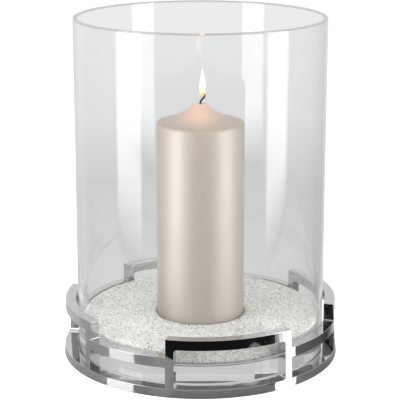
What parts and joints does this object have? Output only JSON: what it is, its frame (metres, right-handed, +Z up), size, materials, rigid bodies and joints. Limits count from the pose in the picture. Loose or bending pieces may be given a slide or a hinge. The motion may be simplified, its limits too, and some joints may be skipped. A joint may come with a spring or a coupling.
{
  "type": "hurricane candle holder",
  "caption": "Clear glass hurricane cylinder standing in an openwork meander ring of polished nickel, with white sand and a pearl pillar candle.",
  "frame": {"origin": "middle of the round footprint, on the table the holder stands on", "axes": "+Z up along the glass; one tall frame of the ring faces each of -Y (front), +X (right), +Y (back) and -X (left)"},
  "size_m": [0.2542, 0.2542, 0.3105],
  "materials": {
    "nickel_plate": "polished nickel plate",
    "clear_glass": "clear, fire-polished rim",
    "sand": "coarse white and grey grains",
    "pearl_wax": "pearl lacquered wax, soft satin",
    "burnt_wick": "charred cotton",
    "felt": "grey wool felt"
  },
  "bodies": {
    "ring": {"bottom_hoop": "nickel_plate", "right_frame_left_post": "nickel_plate", "right_frame_right_post": "nickel_plate", "right_frame_top_rail": "nickel_plate", "back_frame_left_post": "nickel_plate", "back_frame_right_post": "nickel_plate", "back_frame_top_rail": "nickel_plate", "left_frame_left_post": "nickel_plate", "left_frame_right_post": "nickel_plate", "left_frame_top_rail": "nickel_plate", "front_frame_left_post": "nickel_plate", "front_frame_right_post": "nickel_plate", "front_frame_top_rail": "nickel_plate", "back_right_low_rail": "nickel_plate", "back_left_low_rail": "nickel_plate", "front_left_low_rail": "nickel_plate", "front_right_low_rail": "nickel_plate", "right_felt_pad": "felt", "back_felt_pad": "felt", "left_felt_pad": "felt", "front_felt_pad": "felt"},
    "glass": {"glass_cylinder": "clear_glass", "sand_fill": "sand"},
    "candle": {"candle_body": "pearl_wax", "candle_wick": "burnt_wick"}
  },
  "joints": [
    {"name": "glass_lift_out", "type": "slide", "parent": "ring", "child": "glass", "axis": [0, 0, 1], "range_m": [0, 0.06]},
    {"name": "candle_lift_out", "type": "slide", "parent": "glass", "child": "candle", "axis": [0, 0, 1], "range_m": [0, 0.29]}
  ]
}
